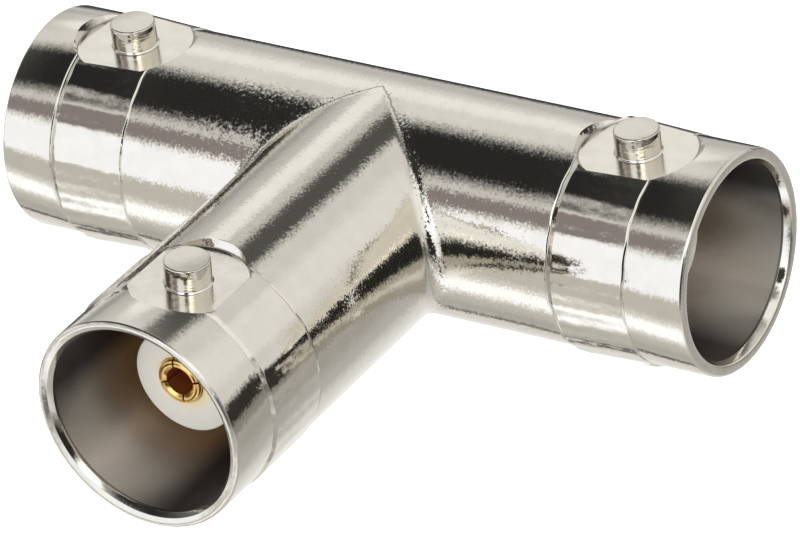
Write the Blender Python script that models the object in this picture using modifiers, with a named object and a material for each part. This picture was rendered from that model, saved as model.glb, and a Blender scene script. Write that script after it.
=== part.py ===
"""Three-way coaxial tee splitter with a bayonet jack on each port.

The plated body is one casting: a straight run with a jack at each end, and a branch of the same
bore that leaves it at a right angle, with a rolling fillet in the corner between the two. Each
jack has two bayonet lugs, and each lug stands on a round flat sunk into the shell. The branch's
jack sits turned a few degrees about its axis. Inside, a white bead in each port carries a slotted
gold contact, and the three contacts are screwed into one junction rod in the middle.

Units are metres with +Z up. The run lies along X, the branch points to -Y, and Z = 0 is the level
of the branch's lower lug. Run it with: blender --background --python part.py
"""

import math

import bmesh
import bpy
from mathutils import Matrix, Vector

MM = 0.001

# Overall layout
RUN_LENGTH = 33.6 * MM
BRANCH_REACH = 19.8 * MM
SHELL_DIAMETER = 9.65 * MM
CORNER_FILLET = 0.69 * MM

# Bayonet lugs and the round flats that they stand on
LUG_RISE = 0.675 * MM
LUG_DIAMETER = 1.95 * MM
LUG_DRAFT = 0.03 * MM
LUG_EDGE_ROUND = 0.14 * MM
LUG_SETBACK = 4.35 * MM
LUG_ROOT = 0.2 * MM
FLAT_DIAMETER = 5.0 * MM
FLAT_SINK = 0.385 * MM
FLAT_WALL_SLOPE = 1.0
BRANCH_JACK_TURN = math.radians(4.5)

# Raised band round each jack, at its lugs
BAND_AHEAD_OF_LUG = 1.5 * MM
BAND_BEHIND_LUG = 1.75 * MM
BAND_STEP = 0.04 * MM
BAND_RISE = 0.19 * MM
BRANCH_BAND_RISE = 0.09 * MM
BAND_SLOPE = 1.7

# Jack mouth and bore
MOUTH_ROUND = 0.18 * MM
MOUTH_FLARE = 0.3 * MM
MOUTH_BEVEL = 0.33 * MM
BORE_WIDENING = 0.14 * MM
SHELL_WALL = 0.765 * MM
BORE_DEPTH = 8.4 * MM
BEAD_SEAT_LEDGE = 0.76 * MM
BEAD_SEAT_DEPTH = 1.6 * MM
CHAMBER_DIAMETER = 4.4 * MM
BRANCH_CHAMBER_DIAMETER = 4.2 * MM

# White bead in each port
BEAD_NOSE_DIAMETER = 4.7 * MM
BEAD_NOSE_SETBACK = 3.55 * MM
BEAD_EDGE = 0.15 * MM

# Slotted contact in each port
CONTACT_DIAMETER = 2.06 * MM
CONTACT_SETBACK = 3.5 * MM
CONTACT_BEVEL = 0.16 * MM
CONTACT_BORE = 1.24 * MM
CONTACT_BORE_DEPTH = 4.6 * MM
CONTACT_ENTRY = 0.12 * MM
CONTACT_LENGTH = 5.3 * MM
CONTACT_TAIL_DIAMETER = 1.2 * MM
SLOT_WIDTH = 0.16 * MM
SLOT_LENGTH = 3.4 * MM

# Junction rod
JUNCTION_DIAMETER = 3.2 * MM
JUNCTION_LENGTH = 5.8 * MM
JUNCTION_HOLE_DEPTH = 1.7 * MM
JUNCTION_CROSS_DEPTH = 1.5 * MM
JUNCTION_EDGE = 0.25 * MM
JUNCTION_GAP = 0.9 * MM

# Fits between separate pieces
CLEARANCE = 0.3 * MM

# Fineness of the round surfaces
SHELL_SIDES = 64
BEAD_SIDES = 32
CONTACT_SIDES = 24
LUG_SIDES = 24
FLAT_SIDES = 40
ROUND_STEPS = 3
FILLET_STEPS = 4

# Values that follow from the sizes above
SHELL_RADIUS = SHELL_DIAMETER / 2
BAND_TOP_RADIUS = SHELL_RADIUS + BAND_RISE
FLAT_HEIGHT = SHELL_RADIUS - FLAT_SINK
BORE_RADIUS = SHELL_RADIUS - SHELL_WALL
BORE_FRONT_RADIUS = BORE_RADIUS + BORE_WIDENING
MOUTH_RADIUS = BORE_FRONT_RADIUS + MOUTH_FLARE
BEAD_SEAT_RADIUS = BORE_RADIUS - BEAD_SEAT_LEDGE
BEAD_BACK = BORE_DEPTH + BEAD_SEAT_DEPTH
BEAD_END = (RUN_LENGTH - JUNCTION_LENGTH) / 2 - JUNCTION_GAP
LUG_TOP = SHELL_RADIUS + LUG_RISE
AXIS_HEIGHT = LUG_TOP * math.cos(BRANCH_JACK_TURN)
AXIS_HEIGHT += (LUG_DIAMETER / 2 - LUG_EDGE_ROUND) * math.sin(BRANCH_JACK_TURN)
CENTRE = Vector((0, (BRANCH_REACH - BAND_TOP_RADIUS) / 2, AXIS_HEIGHT))
OVERRUN = 1.0 * MM

# Each port: its outward direction, the distance from the centre to its mouth, the rise of its band
# at the front and at the rear, and how far its lugs are turned about its axis
PORTS = {
    "right": (Vector((1, 0, 0)), RUN_LENGTH / 2, BAND_STEP, BAND_RISE, 0),
    "left": (Vector((-1, 0, 0)), RUN_LENGTH / 2, BAND_RISE, BAND_STEP, 0),
    "branch": (Vector((0, -1, 0)), BRANCH_REACH, BRANCH_BAND_RISE, BAND_STEP, BRANCH_JACK_TURN),
}


def clear_scene():
    """Remove everything that the file opened with."""
    for item in list(bpy.data.objects):
        bpy.data.objects.remove(item)


def make_collection(name):
    """Return a new collection linked to the scene."""
    collection = bpy.data.collections.new(name)
    bpy.context.scene.collection.children.link(collection)
    return collection


def make_material(name, colour, metallic, roughness):
    """Return a Principled material."""
    material = bpy.data.materials.new(name)
    material.use_nodes = True
    shader = material.node_tree.nodes["Principled BSDF"]
    shader.inputs["Base Color"].default_value = (*colour, 1)
    shader.inputs["Metallic"].default_value = metallic
    shader.inputs["Roughness"].default_value = roughness
    return material


def port_matrix(port):
    """Return the placement whose origin is at the port's mouth and whose +Z leaves the port.

    Local +Y is turned to world +Z, so that the lugs and slots of a port stand upright.
    """
    outward, reach = PORTS[port][:2]
    up = Vector((0, 0, 1))
    turn = Matrix((up.cross(outward), up, outward)).transposed().to_4x4()
    return Matrix.Translation(CENTRE + outward * reach) @ turn


def turned(name, profile, sides, collection, closed=False):
    """Return an object turned about its local Z axis from (radius, height) points.

    The points run down the outer side. An open profile starts and ends on the axis.
    """
    mesh = bpy.data.meshes.new(name)
    points = [(radius, 0, height) for radius, height in profile]
    edges = [(i, i + 1) for i in range(len(points) - 1)]
    if closed:
        edges.append((len(points) - 1, 0))
    mesh.from_pydata(points, edges, [])
    item = bpy.data.objects.new(name, mesh)
    collection.objects.link(item)
    screw = item.modifiers.new("Turn", "SCREW")
    screw.angle = 2 * math.pi
    screw.steps = screw.render_steps = sides
    screw.use_merge_vertices = True
    screw.merge_threshold = 0.000001
    screw.use_smooth_shade = True
    return item


def rounded(corner, start, end, steps=ROUND_STEPS):
    """Return a quarter round from start to end, bulging towards the corner."""
    corner, start, end = Vector(corner), Vector(start), Vector(end)
    hub = start + end - corner
    points = []
    for i in range(steps + 1):
        angle = math.pi / 2 * i / steps
        points.append(tuple(hub + (start - hub) * math.cos(angle) + (end - hub) * math.sin(angle)))
    return points


def hide_as_cutter(item):
    """Show a cutter as wire and keep it out of renders."""
    item.hide_render = True
    item.display_type = "WIRE"


def combine(target, operand, operation):
    """Add a Boolean modifier that joins or cuts the target with another object."""
    modifier = target.modifiers.new(operand.name, "BOOLEAN")
    modifier.operation = operation
    modifier.object = operand
    modifier.solver = "EXACT"


def baked(item):
    """Return the evaluated mesh of an object, and remove the object."""
    bpy.context.view_layer.update()
    graph = bpy.context.evaluated_depsgraph_get()
    mesh = bpy.data.meshes.new_from_object(item.evaluated_get(graph))
    bpy.data.objects.remove(item)
    return mesh


def shell_profile(reach, front_rise, rear_rise):
    """Return the outer line of one jack from its mouth's face inwards, as (radius, distance) points."""
    face = SHELL_RADIUS - MOUTH_ROUND
    lug = reach - LUG_SETBACK
    front, rear = lug + BAND_AHEAD_OF_LUG, lug - BAND_BEHIND_LUG
    points = rounded((SHELL_RADIUS, reach), (face, reach), (SHELL_RADIUS, reach - MOUTH_ROUND))
    points += [(SHELL_RADIUS, front + front_rise * BAND_SLOPE), (SHELL_RADIUS + front_rise, front)]
    points += [(SHELL_RADIUS + rear_rise, rear), (SHELL_RADIUS, rear - rear_rise * BAND_SLOPE)]
    return points


def bore_profile(reach, chamber_diameter):
    """Return the inner line of one jack from beyond its mouth inwards."""
    seat = reach - BORE_DEPTH
    return [
        (0, reach + OVERRUN),
        (MOUTH_RADIUS, reach + OVERRUN),
        (MOUTH_RADIUS, reach),
        (BORE_FRONT_RADIUS, reach - MOUTH_BEVEL),
        (BORE_RADIUS, seat),
        (BEAD_SEAT_RADIUS, seat),
        (BEAD_SEAT_RADIUS, seat - BEAD_SEAT_DEPTH),
        (chamber_diameter / 2, seat - BEAD_SEAT_DEPTH),
    ]


def mirrored(profile):
    """Return a profile's points turned end for end, for the other half of the run."""
    return [(radius, -distance) for radius, distance in reversed(profile)]


def make_run(name, right_half, left_half, collection):
    """Return a turned solid along X from the two halves' profiles."""
    item = turned(name, right_half + mirrored(left_half), SHELL_SIDES, collection)
    item.matrix_world = Matrix.Translation(CENTRE) @ Matrix.Rotation(math.pi / 2, 4, "Y")
    return item


def make_branch(name, profile, collection):
    """Return a turned solid along -Y from a profile whose distances start at the centre."""
    item = turned(name, profile, SHELL_SIDES, collection)
    item.matrix_world = Matrix.Translation(CENTRE) @ Matrix.Rotation(math.pi / 2, 4, "X")
    return item


def make_lug(name, collection):
    """Return a bayonet lug about local Z, with heights measured from the shell's axis."""
    top = LUG_TOP
    radius = LUG_DIAMETER / 2
    foot = FLAT_HEIGHT - LUG_ROOT
    profile = [(0, top)]
    profile += rounded((radius, top), (radius - LUG_EDGE_ROUND, top), (radius, top - LUG_EDGE_ROUND))
    profile += [(radius + LUG_DRAFT, foot), (0, foot)]
    return turned(name, profile, LUG_SIDES, collection)


def skin_point(port, radius, distance, step):
    """Return a point of the skin, at a step round the port's axis that starts level and goes up."""
    angle = 2 * math.pi * step / SHELL_SIDES
    across, up = radius * math.cos(angle), radius * math.sin(angle)
    if port == "branch":
        return Vector((across, -distance, up))
    return Vector((distance if port == "right" else -distance, -across, up))


def corner_arc(side, step):
    """Return the points of the ball rolling in the corner, from the run's skin to the branch's."""
    angle = 2 * math.pi * step / SHELL_SIDES
    level, up = math.cos(angle), math.sin(angle)
    track = SHELL_RADIUS + CORNER_FILLET
    hub = Vector((side * track * level, -track * level, track * up))
    start = CORNER_FILLET * Vector((0, level, -up))
    end = CORNER_FILLET * Vector((-side * level, 0, -up))
    swing = start.angle(end)
    if swing < 0.001:
        return [hub + start]
    points = []
    for i in range(FILLET_STEPS + 1):
        share = i / FILLET_STEPS
        blend = start * math.sin((1 - share) * swing) + end * math.sin(share * swing)
        points.append(hub + blend / math.sin(swing))
    return points


def make_skin(name, profiles, collection):
    """Return the closed outer skin of the run and the branch, with the fillet between them."""
    form = bmesh.new()
    quarter = SHELL_SIDES // 4
    rings = {}
    for port, profile in profiles.items():
        rings[port] = [
            [form.verts.new(skin_point(port, radius, distance, i)) for i in range(SHELL_SIDES)]
            for radius, distance in profile
        ]
        form.faces.new(rings[port][0])
        for outer, inner in zip(rings[port], rings[port][1:]):
            for i in range(SHELL_SIDES):
                form.faces.new((outer[i - 1], outer[i], inner[i], inner[i - 1]))
    last = {port: rings[port][-1] for port in rings}
    peaks = {i: [form.verts.new(corner_arc(1, i)[0])] * (FILLET_STEPS + 1) for i in (-quarter, quarter)}
    for side, port in ((1, "right"), (-1, "left")):
        arcs = {i: [form.verts.new(p) for p in corner_arc(side, i)] for i in range(1 - quarter, quarter)}
        arcs.update(peaks)
        for i in range(-quarter, quarter):
            here, after = arcs[i], arcs[i + 1]
            form.faces.new((last[port][i], last[port][i + 1], after[0], here[0]))
            near, far = (i, i + 1) if side == 1 else (2 * quarter - i, 2 * quarter - i - 1)
            branch = last["branch"]
            ends = (branch[near % SHELL_SIDES], branch[far % SHELL_SIDES])
            form.faces.new((*ends, after[-1], here[-1]))
            for j in range(FILLET_STEPS):
                corners = (here[j], here[j + 1], after[j + 1], after[j])
                form.faces.new(list(dict.fromkeys(corners)))
    right, left = last["right"], last["left"]
    for i in range(quarter, 3 * quarter):
        before = [peaks[quarter][0]] if i == quarter else []
        after = [peaks[-quarter][0]] if i == 3 * quarter - 1 else []
        form.faces.new([right[i], right[i + 1], *after, left[i + 1], left[i], *before])
    bmesh.ops.recalc_face_normals(form, faces=form.faces)
    mesh = bpy.data.meshes.new(name)
    form.to_mesh(mesh)
    form.free()
    item = bpy.data.objects.new(name, mesh)
    collection.objects.link(item)
    item.matrix_world = Matrix.Translation(CENTRE)
    return item


def make_flat_cutter(name, collection):
    """Return the round cutter that sinks a lug's flat, with its sloping wall."""
    radius = FLAT_DIAMETER / 2
    height = AXIS_HEIGHT + OVERRUN - FLAT_HEIGHT
    top = FLAT_HEIGHT + height
    rim = radius + height * FLAT_WALL_SLOPE
    profile = [(0, top), (rim, top), (radius, FLAT_HEIGHT), (0, FLAT_HEIGHT)]
    return turned(name, profile, FLAT_SIDES, collection)


def make_body(parts, tools, material):
    """Return the one-piece casting with its three jacks, six flats and six lugs."""
    profiles = {port: shell_profile(*sizes[1:4]) for port, sizes in PORTS.items()}
    body = make_skin("tee_body", profiles, parts)
    additions, cuts = [], []
    for port, (outward, reach, _, _, turn) in PORTS.items():
        for side, half_turn in (("upper", 0), ("lower", math.pi)):
            place = Matrix.Translation(CENTRE + outward * (reach - LUG_SETBACK))
            place = place @ Matrix.Rotation(turn + half_turn, 4, -outward)
            for make, shapes in ((make_flat_cutter, cuts), (make_lug, additions)):
                shape = make(f"{port}_{side}_{make.__name__[5:]}", tools)
                shape.matrix_world = place
                shapes.append(shape)
    bore = bore_profile(RUN_LENGTH / 2, CHAMBER_DIAMETER)
    cross = bore_profile(BRANCH_REACH, BRANCH_CHAMBER_DIAMETER)
    cross_end = [(BRANCH_CHAMBER_DIAMETER / 2, 0), (0, 0)]
    bores = [make_run("run_bore", bore, bore, tools), make_branch("branch_bore", cross + cross_end, tools)]
    for shape in cuts:
        combine(body, shape, "DIFFERENCE")
    for shape in additions:
        combine(body, shape, "UNION")
    for shape in bores:
        combine(body, shape, "DIFFERENCE")
    for shape in [*cuts, *additions, *bores]:
        hide_as_cutter(shape)
    body.data.materials.append(material)
    return body


def bead_profile():
    """Return the closed section of a bead, with heights measured inwards from the jack's mouth."""
    nose, hole = BEAD_NOSE_DIAMETER / 2, CONTACT_DIAMETER / 2 + CLEARANCE
    seat, tail = BEAD_SEAT_RADIUS - CLEARANCE, BRANCH_CHAMBER_DIAMETER / 2 - CLEARANCE
    step = -(CONTACT_SETBACK + CONTACT_LENGTH + CLEARANCE)
    back, end = CLEARANCE - BEAD_BACK, -BEAD_END
    thin_hole = CONTACT_TAIL_DIAMETER / 2 + CLEARANCE
    return [
        (hole, -BEAD_NOSE_SETBACK),
        (nose - BEAD_EDGE, -BEAD_NOSE_SETBACK),
        (nose, -BEAD_NOSE_SETBACK - BEAD_EDGE),
        (nose, -BORE_DEPTH),
        (seat, -BORE_DEPTH),
        (seat, back),
        (tail, back),
        (tail, end),
        (thin_hole, end),
        (thin_hole, step),
        (hole, step),
    ]


def contact_profile(tail_end):
    """Return a contact's section from its bore's end round its tip and down to its tail."""
    bore, outer, tail = CONTACT_BORE / 2, CONTACT_DIAMETER / 2, CONTACT_TAIL_DIAMETER / 2
    tip = -CONTACT_SETBACK
    shoulder = tip - CONTACT_LENGTH
    return [
        (0, tip - CONTACT_BORE_DEPTH),
        (bore, tip - CONTACT_BORE_DEPTH + bore / 2),
        (bore, tip - CONTACT_ENTRY),
        (bore + CONTACT_ENTRY, tip),
        (outer - CONTACT_BEVEL, tip),
        (outer, tip - CONTACT_BEVEL),
        (outer, shoulder),
        (tail, shoulder),
        (tail, tail_end),
        (0, tail_end),
    ]


def make_box(name, size, centre, collection):
    """Return a box of the given size about a centre."""
    mesh = bpy.data.meshes.new(name)
    form = bmesh.new()
    bmesh.ops.create_cube(form, size=1, matrix=Matrix.Translation(centre) @ Matrix.Diagonal((*size, 1)))
    form.to_mesh(mesh)
    form.free()
    item = bpy.data.objects.new(name, mesh)
    collection.objects.link(item)
    return item


def make_contact(port, parts, tools, material):
    """Return a port's slotted contact, whose tail reaches into the junction rod."""
    reach = PORTS[port][1]
    if port == "branch":
        hole_end = JUNCTION_DIAMETER / 2 - JUNCTION_CROSS_DEPTH
    else:
        hole_end = JUNCTION_LENGTH / 2 - JUNCTION_HOLE_DEPTH
    tail_end = hole_end + CLEARANCE - reach
    contact = turned(f"{port}_contact", contact_profile(tail_end), CONTACT_SIDES, parts)
    length = SLOT_LENGTH + OVERRUN
    middle = Vector((0, 0, OVERRUN - CONTACT_SETBACK - length / 2))
    wide = CONTACT_DIAMETER + OVERRUN
    for index, size in enumerate(((SLOT_WIDTH, wide, length), (wide, SLOT_WIDTH, length))):
        slot = make_box(f"{port}_slot_{index + 1}", size, middle, tools)
        slot.matrix_world = port_matrix(port)
        hide_as_cutter(slot)
        combine(contact, slot, "DIFFERENCE")
    contact.matrix_world = port_matrix(port)
    contact.data.materials.append(material)
    return contact


def make_beads(parts, material):
    """Return the three beads, which share one mesh."""
    mesh = baked(turned("bead", bead_profile(), BEAD_SIDES, parts, closed=True))
    mesh.materials.append(material)
    for port in PORTS:
        bead = bpy.data.objects.new(f"{port}_insulator", mesh)
        parts.objects.link(bead)
        bead.matrix_world = port_matrix(port)


def make_junction(parts, tools, material):
    """Return the junction rod along X, with a hole in each end and one in its side."""
    radius, half = JUNCTION_DIAMETER / 2, JUNCTION_LENGTH / 2
    edge = radius - JUNCTION_EDGE
    profile = [(0, half), (edge, half), (radius, half - JUNCTION_EDGE)]
    profile += [(radius, JUNCTION_EDGE - half), (edge, -half), (0, -half)]
    rod = turned("junction_rod", profile, CONTACT_SIDES, parts)
    rod.matrix_world = Matrix.Translation(CENTRE) @ Matrix.Rotation(math.pi / 2, 4, "Y")
    hole = CONTACT_TAIL_DIAMETER / 2 + CLEARANCE
    for port in PORTS:
        reach = PORTS[port][1]
        outside, depth = (radius, JUNCTION_CROSS_DEPTH) if port == "branch" else (half, JUNCTION_HOLE_DEPTH)
        start, end = outside + OVERRUN - reach, outside - depth - reach
        drill = turned(f"{port}_drill", [(0, start), (hole, start), (hole, end), (0, end)], CONTACT_SIDES, tools)
        drill.matrix_world = port_matrix(port)
        hide_as_cutter(drill)
        combine(rod, drill, "DIFFERENCE")
    rod.data.materials.append(material)
    return rod


def main():
    """Build the tee."""
    clear_scene()
    parts = make_collection("coaxial_tee")
    tools = make_collection("cutters")
    nickel = make_material("nickel_plate", (0.78, 0.75, 0.70), 1.0, 0.16)
    white = make_material("white_bead", (0.82, 0.81, 0.77), 0.0, 0.45)
    gold = make_material("gold_plate", (0.86, 0.60, 0.22), 1.0, 0.22)
    brass = make_material("brass", (0.72, 0.55, 0.28), 1.0, 0.35)
    make_body(parts, tools, nickel)
    make_beads(parts, white)
    for port in PORTS:
        make_contact(port, parts, tools, gold)
    make_junction(parts, tools, brass)


main()
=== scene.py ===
"""Looks of a plated coaxial tee that has a bayonet jack on each of its three ports.

Lengths are in millimetres until a mesh is made. Every mesh is in metres and in the part's own
frame: the run lies along X, the branch points to -Y and +Z is up.
"""

import logging
import math
from dataclasses import dataclass
from enum import Enum
from functools import reduce

import bmesh
import bpy
import numpy as np
from mathutils import Matrix, Vector


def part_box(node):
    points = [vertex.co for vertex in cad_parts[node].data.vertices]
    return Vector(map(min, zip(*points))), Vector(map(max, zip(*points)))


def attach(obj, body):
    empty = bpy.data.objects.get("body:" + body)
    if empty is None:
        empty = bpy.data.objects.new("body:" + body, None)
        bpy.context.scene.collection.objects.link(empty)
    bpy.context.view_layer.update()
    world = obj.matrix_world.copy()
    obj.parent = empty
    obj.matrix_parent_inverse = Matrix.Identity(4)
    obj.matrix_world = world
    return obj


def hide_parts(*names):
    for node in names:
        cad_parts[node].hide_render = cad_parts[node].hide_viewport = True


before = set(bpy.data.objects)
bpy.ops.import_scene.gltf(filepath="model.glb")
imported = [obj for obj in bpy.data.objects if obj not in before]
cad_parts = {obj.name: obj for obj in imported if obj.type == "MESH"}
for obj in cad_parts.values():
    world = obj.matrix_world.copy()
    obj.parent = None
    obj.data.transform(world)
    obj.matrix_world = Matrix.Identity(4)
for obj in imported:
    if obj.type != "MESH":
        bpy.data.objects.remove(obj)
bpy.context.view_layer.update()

log = logging.getLogger("coaxial_tee")

MM = 0.001
WELD = 0.0000004
STRAIGHT = 0.01
TINY = 1e-6
PHOTO_WIDTH = 800

Triple = tuple[float, float, float]
Colour = Triple
Span = tuple[float, float]
Profile = list[Triple]
Socket = bpy.types.NodeSocket
Value = Socket | float


class Port(Enum):
    """A port of the tee."""

    RIGHT = "right"
    LEFT = "left"
    BRANCH = "branch"


class Use(Enum):
    """What a tool does to a piece."""

    CUT = "DIFFERENCE"
    JOIN = "UNION"


@dataclass(frozen=True)
class Layout:
    """Sizes that the whole tee shares, in millimetres."""

    run_half: float = 16.8
    branch_reach: float = 19.8
    shell_radius: float = 4.825
    bore_radius: float = 4.06
    bore_depth: float = 8.4
    seat_radius: float = 3.3
    seat_depth: float = 1.6
    lug_setback: float = 4.35
    lug_top: float = 5.5
    flat_height: float = 4.44
    branch_turn: float = math.radians(4.5)

    def reach(self, port: Port) -> float:
        """Return the distance from the crossing of the axes to a port's mouth."""
        return self.branch_reach if port is Port.BRANCH else self.run_half

    def turn(self, port: Port) -> float:
        """Return how far a port's jack is turned about its axis, in radians."""
        return self.branch_turn if port is Port.BRANCH else 0.0


LAYOUT = Layout()
OUTWARD = {
    Port.RIGHT: Vector((1, 0, 0)),
    Port.LEFT: Vector((-1, 0, 0)),
    Port.BRANCH: Vector((0, -1, 0)),
}


def crossing() -> Vector:
    """Return the point where the axes of the run and the branch cross, in millimetres.

    Returns:
        The point, taken from the CAD body's box: the branch's mouth sets Y, and the branch's two
        lugs set Z.
    """
    low, high = (Vector(corner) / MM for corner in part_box("tee_body"))
    return Vector((0, low.y + LAYOUT.branch_reach, (low.z + high.z) / 2))


CENTRE = crossing()


@dataclass
class Surface:
    """A surface on a grid of points.

    Attributes:
        points: Rows by columns by three, in millimetres.
        closed: True where each row joins end to end.
    """

    points: np.ndarray
    closed: bool = False

    def faces(self, first: int) -> np.ndarray:
        """Return the grid's quads: each point with the next in its row and the two below them.

        Args:
            first: The number of the grid's first point.

        Returns:
            The numbers of the corners, four to a row.
        """
        rows, columns = self.points.shape[:2]
        spans = columns if self.closed else columns - 1
        row, column = np.meshgrid(np.arange(rows - 1), np.arange(spans), indexing="ij")
        after = (column + 1) % columns
        corners = (row * columns + column, row * columns + after)
        corners += ((row + 1) * columns + after, (row + 1) * columns + column)
        return np.stack(corners, axis=-1).reshape(-1, 4) + first


def softened(profile: Profile, steps: int = 6) -> np.ndarray:
    """Return a line of points with its corners rounded.

    Each corner becomes an arc that touches both of its sides. The arc's points are
    hub + round * (direction at angle t), with t going evenly from the one side to the other.
    A bend below STRAIGHT radians stays as it is.

    Args:
        profile: Points as (radius, height, rounding).
        steps: Spans in each arc.

    Returns:
        Points as (radius, height), in an array of two columns.
    """
    spots = [Vector(point[:2]) for point in profile]
    line = [tuple(spots[0])]
    for before, spot, after, (_, _, size) in zip(spots, spots[1:], spots[2:], profile[1:-1]):
        arrive, leave = (spot - before).normalized(), (after - spot).normalized()
        bend = arrive.angle(leave)
        if size <= 0 or bend < STRAIGHT:
            line.append(tuple(spot))
            continue
        reach = size * math.tan(bend / 2)
        side = math.copysign(1, arrive.cross(leave))
        normal = Vector((-arrive.y, arrive.x)) * side
        hub = spot - arrive * reach + normal * size
        for angle in (bend * i / steps for i in range(steps + 1)):
            back, ahead = normal * size * math.cos(angle), arrive * size * math.sin(angle)
            line.append(tuple(hub - back + ahead))
    line.append(tuple(spots[-1]))
    return np.array(line)


def turned(line: np.ndarray, sides: int) -> Surface:
    """Return a line turned about the local Z axis.

    A point is (radius * cos a, radius * sin a, height), with a going evenly round the circle.

    Args:
        line: Points as (radius, height).
        sides: Points round the circle.

    Returns:
        The surface, closed round the axis.
    """
    angle = np.arange(sides) * 2 * np.pi / sides
    radius, height = line[:, :1], line[:, 1:]
    flat = np.stack([radius * np.cos(angle), radius * np.sin(angle)], axis=-1)
    level = np.repeat(height, sides, 1)[..., None]
    return Surface(np.concatenate([flat, level], axis=-1), closed=True)


def ripple(angle: np.ndarray, waves: tuple[Triple, ...], base: float = 0) -> np.ndarray:
    """Return base plus height * sin(count * angle + phase) for each (count, height, phase)."""
    return sum((height * np.sin(count * angle + phase) for count, height, phase in waves), base)


def port_frame(port: Port, turn: float) -> Matrix:
    """Return the placement at a port's mouth: local Z leaves the port and local Y points up.

    Args:
        port: The port.
        turn: Turn about the port's axis, in radians.

    Returns:
        The placement, in millimetres.
    """
    outward, up = OUTWARD[port], Vector((0, 0, 1))
    axes = Matrix((up.cross(outward), up, outward)).transposed().to_4x4()
    mouth = Matrix.Translation(CENTRE + outward * LAYOUT.reach(port))
    return mouth @ axes @ Matrix.Rotation(turn, 4, "Z")


def make_piece(name: str, surfaces: list[Surface], place: Matrix) -> bpy.types.Object:
    """Return a closed mesh object made of surfaces that share their borders.

    Args:
        name: The object's name.
        surfaces: The surfaces, in millimetres.
        place: Where they go, in millimetres. It goes into the mesh, not onto the object.

    Returns:
        The object, at the origin, with its faces outwards.
    """
    first, faces = 0, []
    for surface in surfaces:
        faces.append(surface.faces(first))
        first += surface.points.shape[0] * surface.points.shape[1]
    points = np.concatenate([surface.points.reshape(-1, 3) for surface in surfaces])
    turn = np.array(place.to_3x3())
    points = (points @ turn.T + np.array(place.translation)) * MM
    mesh = bpy.data.meshes.new(name)
    mesh.from_pydata(points.tolist(), [], np.concatenate(faces).tolist())
    form = bmesh.new()
    form.from_mesh(mesh)
    bmesh.ops.remove_doubles(form, verts=form.verts, dist=WELD)
    bmesh.ops.dissolve_degenerate(form, dist=WELD, edges=form.edges)
    bmesh.ops.recalc_face_normals(form, faces=form.faces)
    form.to_mesh(mesh)
    form.free()
    return add_object(name, mesh)


def add_object(name: str, data: bpy.types.ID) -> bpy.types.Object:
    """Return a new object in the scene.

    Args:
        name: Its name.
        data: Its mesh, lamp or camera.

    Returns:
        The object, at the origin.
    """
    item = bpy.data.objects.new(name, data)
    bpy.context.scene.collection.objects.link(item)
    return item


def carve(item: bpy.types.Object, tools: list[tuple[bpy.types.Object, Use]]) -> None:
    """Cut tools from an object or join them to it, and keep only the finished mesh.

    Args:
        item: The object.
        tools: Each tool with its use, in their order.
    """
    for tool, use in tools:
        modifier = item.modifiers.new(tool.name, "BOOLEAN")
        modifier.object, modifier.operation, modifier.solver = tool, use.value, "MANIFOLD"
    graph = bpy.context.evaluated_depsgraph_get()
    mesh = bpy.data.meshes.new_from_object(item.evaluated_get(graph))
    item.modifiers.clear()
    old, item.data = item.data, mesh
    mesh.name = item.name
    bpy.data.meshes.remove(old)
    for tool, _ in tools:
        bpy.data.meshes.remove(tool.data)


def smooth(item: bpy.types.Object, limit: float) -> None:
    """Shade an object smooth, with its edges sharp above a limit in degrees."""
    item.data.shade_smooth()
    item.data.set_sharp_from_angle(angle=math.radians(limit))


def dress(item: bpy.types.Object, material: bpy.types.Material) -> None:
    """Give an object one material and no other."""
    item.data.materials.clear()
    item.data.materials.append(material)


def finish_piece(
    item: bpy.types.Object, node: str, material: bpy.types.Material
) -> None:
    """Dress a finished piece and say what it stands for.

    Args:
        item: The piece.
        node: The CAD node that it replaces.
        material: Its material.
    """
    dress(item, material)
    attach(item, "root")
    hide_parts(node)
    log.info("%s: %d faces, for %s", item.name, len(item.data.polygons), node)


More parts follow.
